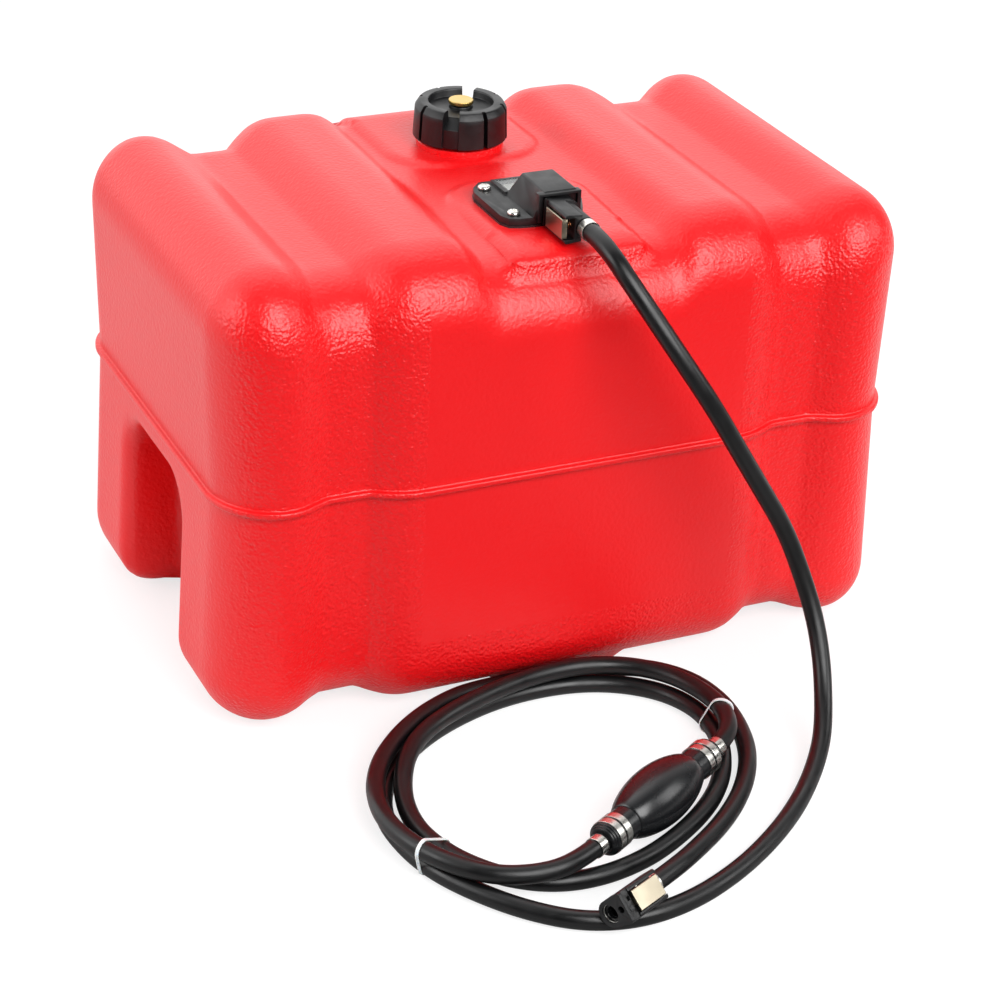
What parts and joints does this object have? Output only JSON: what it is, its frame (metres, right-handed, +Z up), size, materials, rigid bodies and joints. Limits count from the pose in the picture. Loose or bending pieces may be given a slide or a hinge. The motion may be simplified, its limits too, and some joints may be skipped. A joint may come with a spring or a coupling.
{
  "type": "outboard fuel tank",
  "caption": "Portable outboard fuel tank: ribbed red shell, vented screw cap, gauge outlet fitting, and a coiled fuel hose with primer bulb and quick connectors.",
  "frame": {"origin": "on the ground under the middle of the tank shell", "axes": "+X along the tank, +Y to its back (the hose lies in front, at -Y), +Z up"},
  "size_m": [0.5476, 0.6635, 0.381],
  "materials": {
    "red_polyethylene": "moulded grain",
    "black_nylon": "satin",
    "black_rubber": "satin",
    "hose_rubber": "satin",
    "brass": "turned",
    "stainless": "bright",
    "nickel": "plated",
    "pale_gasket": "matte",
    "clear_lens": "clear",
    "dial_white": "satin",
    "white_plastic": "satin",
    "spring_copper": "plated wire"
  },
  "bodies": {
    "tank": {"tank_shell": "red_polyethylene", "flame_screen": "stainless", "outlet_housing": "black_nylon", "outlet_gasket": "pale_gasket", "outlet_screws": "stainless", "outlet_nipple": "nickel", "pickup_tube": "white_plastic", "pickup_strainer": "stainless", "gauge_lens": "clear_lens", "gauge_dial": "dial_white", "gauge_guide": "brass", "supply_hose": "hose_rubber", "engine_hose": "hose_rubber", "primer_bulb": "black_rubber", "bulb_inlet_fitting": "black_nylon", "bulb_outlet_fitting": "black_nylon", "bulb_neck_clamps": "stainless", "hose_clamps": "stainless", "hose_ties": "white_plastic", "tank_connector_body": "black_nylon", "tank_connector_latch_pin": "stainless", "tank_connector_latch_spring": "spring_copper", "tank_connector_ball_spring": "stainless", "tank_connector_seal": "black_rubber", "engine_connector_body": "black_nylon", "engine_connector_latch_pin": "stainless", "engine_connector_latch_spring": "spring_copper", "engine_connector_ball_spring": "stainless", "engine_connector_seal": "black_rubber"},
    "cap_gasket": {"cap_gasket": "black_rubber"},
    "cap": {"filler_cap": "black_nylon", "cap_vent_bush": "brass"},
    "vent_seal": {"vent_seal": "black_rubber"},
    "vent_screw": {"vent_screw": "brass"},
    "float": {"gauge_float": "white_plastic"},
    "pointer": {"gauge_pointer": "brass"},
    "tank_latch": {"tank_connector_latch": "stainless"},
    "engine_latch": {"engine_connector_latch": "stainless"},
    "tank_ball": {"tank_connector_ball": "stainless"},
    "engine_ball": {"engine_connector_ball": "stainless"},
    "inlet_disc": {"inlet_valve": "black_rubber"},
    "outlet_disc": {"outlet_valve": "black_rubber"}
  },
  "joints": [
    {"name": "cap_rise", "type": "slide", "parent": "tank", "child": "cap_gasket", "axis": [0, 0, 1], "range_m": [0, 0.018]},
    {"name": "cap_turn", "type": "hinge", "parent": "cap_gasket", "child": "cap", "pos_m": [0, 0.0614, 0.35], "axis": [0, 0, 1], "range_deg": [0, 1080]},
    {"name": "vent_rise", "type": "slide", "parent": "cap", "child": "vent_seal", "axis": [0, 0, 1], "range_m": [0, 0.002]},
    {"name": "vent_turn", "type": "hinge", "parent": "vent_seal", "child": "vent_screw", "pos_m": [0, 0.0614, 0.377], "axis": [0, 0, 1], "range_deg": [0, 720]},
    {"name": "gauge_float_rise", "type": "slide", "parent": "tank", "child": "float", "axis": [0, 0, 1], "range_m": [0, 0.285]},
    {"name": "gauge_pointer_turn", "type": "hinge", "parent": "tank", "child": "pointer", "pos_m": [0, -0.05, 0.351], "axis": [0, 0, 1], "range_deg": [0, 270.5]},
    {"name": "tank_latch_press", "type": "hinge", "parent": "tank", "child": "tank_latch", "pos_m": [-0.008, -0.1292, 0.3568], "axis": [0, 0, 1], "range_deg": [0, 10], "stiffness_Nm_per_rad": 0.04, "springref_deg": -8.59, "deforming": ["tank_connector_latch_spring"]},
    {"name": "engine_latch_press", "type": "hinge", "parent": "tank", "child": "engine_latch", "pos_m": [-0.09211, -0.46884, 0.02993], "axis": [-0.2936, 0.6156, 0.7314], "range_deg": [0, 10], "stiffness_Nm_per_rad": 0.04, "springref_deg": -8.59, "deforming": ["engine_connector_latch_spring"]},
    {"name": "tank_ball_push", "type": "slide", "parent": "tank", "child": "tank_ball", "axis": [0, -1, 0], "range_m": [0, 0.005], "stiffness_N_per_m": 60, "springref_m": -0.006, "deforming": ["tank_connector_ball_spring"]},
    {"name": "engine_ball_push", "type": "slide", "parent": "tank", "child": "engine_ball", "axis": [0.9026, 0.4305, 0], "range_m": [0, 0.005], "stiffness_N_per_m": 60, "springref_m": -0.006, "deforming": ["engine_connector_ball_spring"]},
    {"name": "inlet_valve_lift", "type": "slide", "parent": "tank", "child": "inlet_disc", "axis": [-0.8625, -0.506, 0], "range_m": [0, 0.0025], "stiffness_N_per_m": 3, "springref_m": -0.002},
    {"name": "outlet_valve_lift", "type": "slide", "parent": "tank", "child": "outlet_disc", "axis": [-0.8625, -0.506, 0], "range_m": [0, 0.0025], "stiffness_N_per_m": 3, "springref_m": -0.002}
  ],
  "couplings": [
    {"joint": "cap_rise", "follows": "cap_turn", "m_per_rad": 0.00095493},
    {"joint": "vent_turn", "follows": "vent_rise", "rad_per_m": 6283.1},
    {"joint": "gauge_pointer_turn", "follows": "gauge_float_rise", "rad_per_m": 16.53}
  ]
}
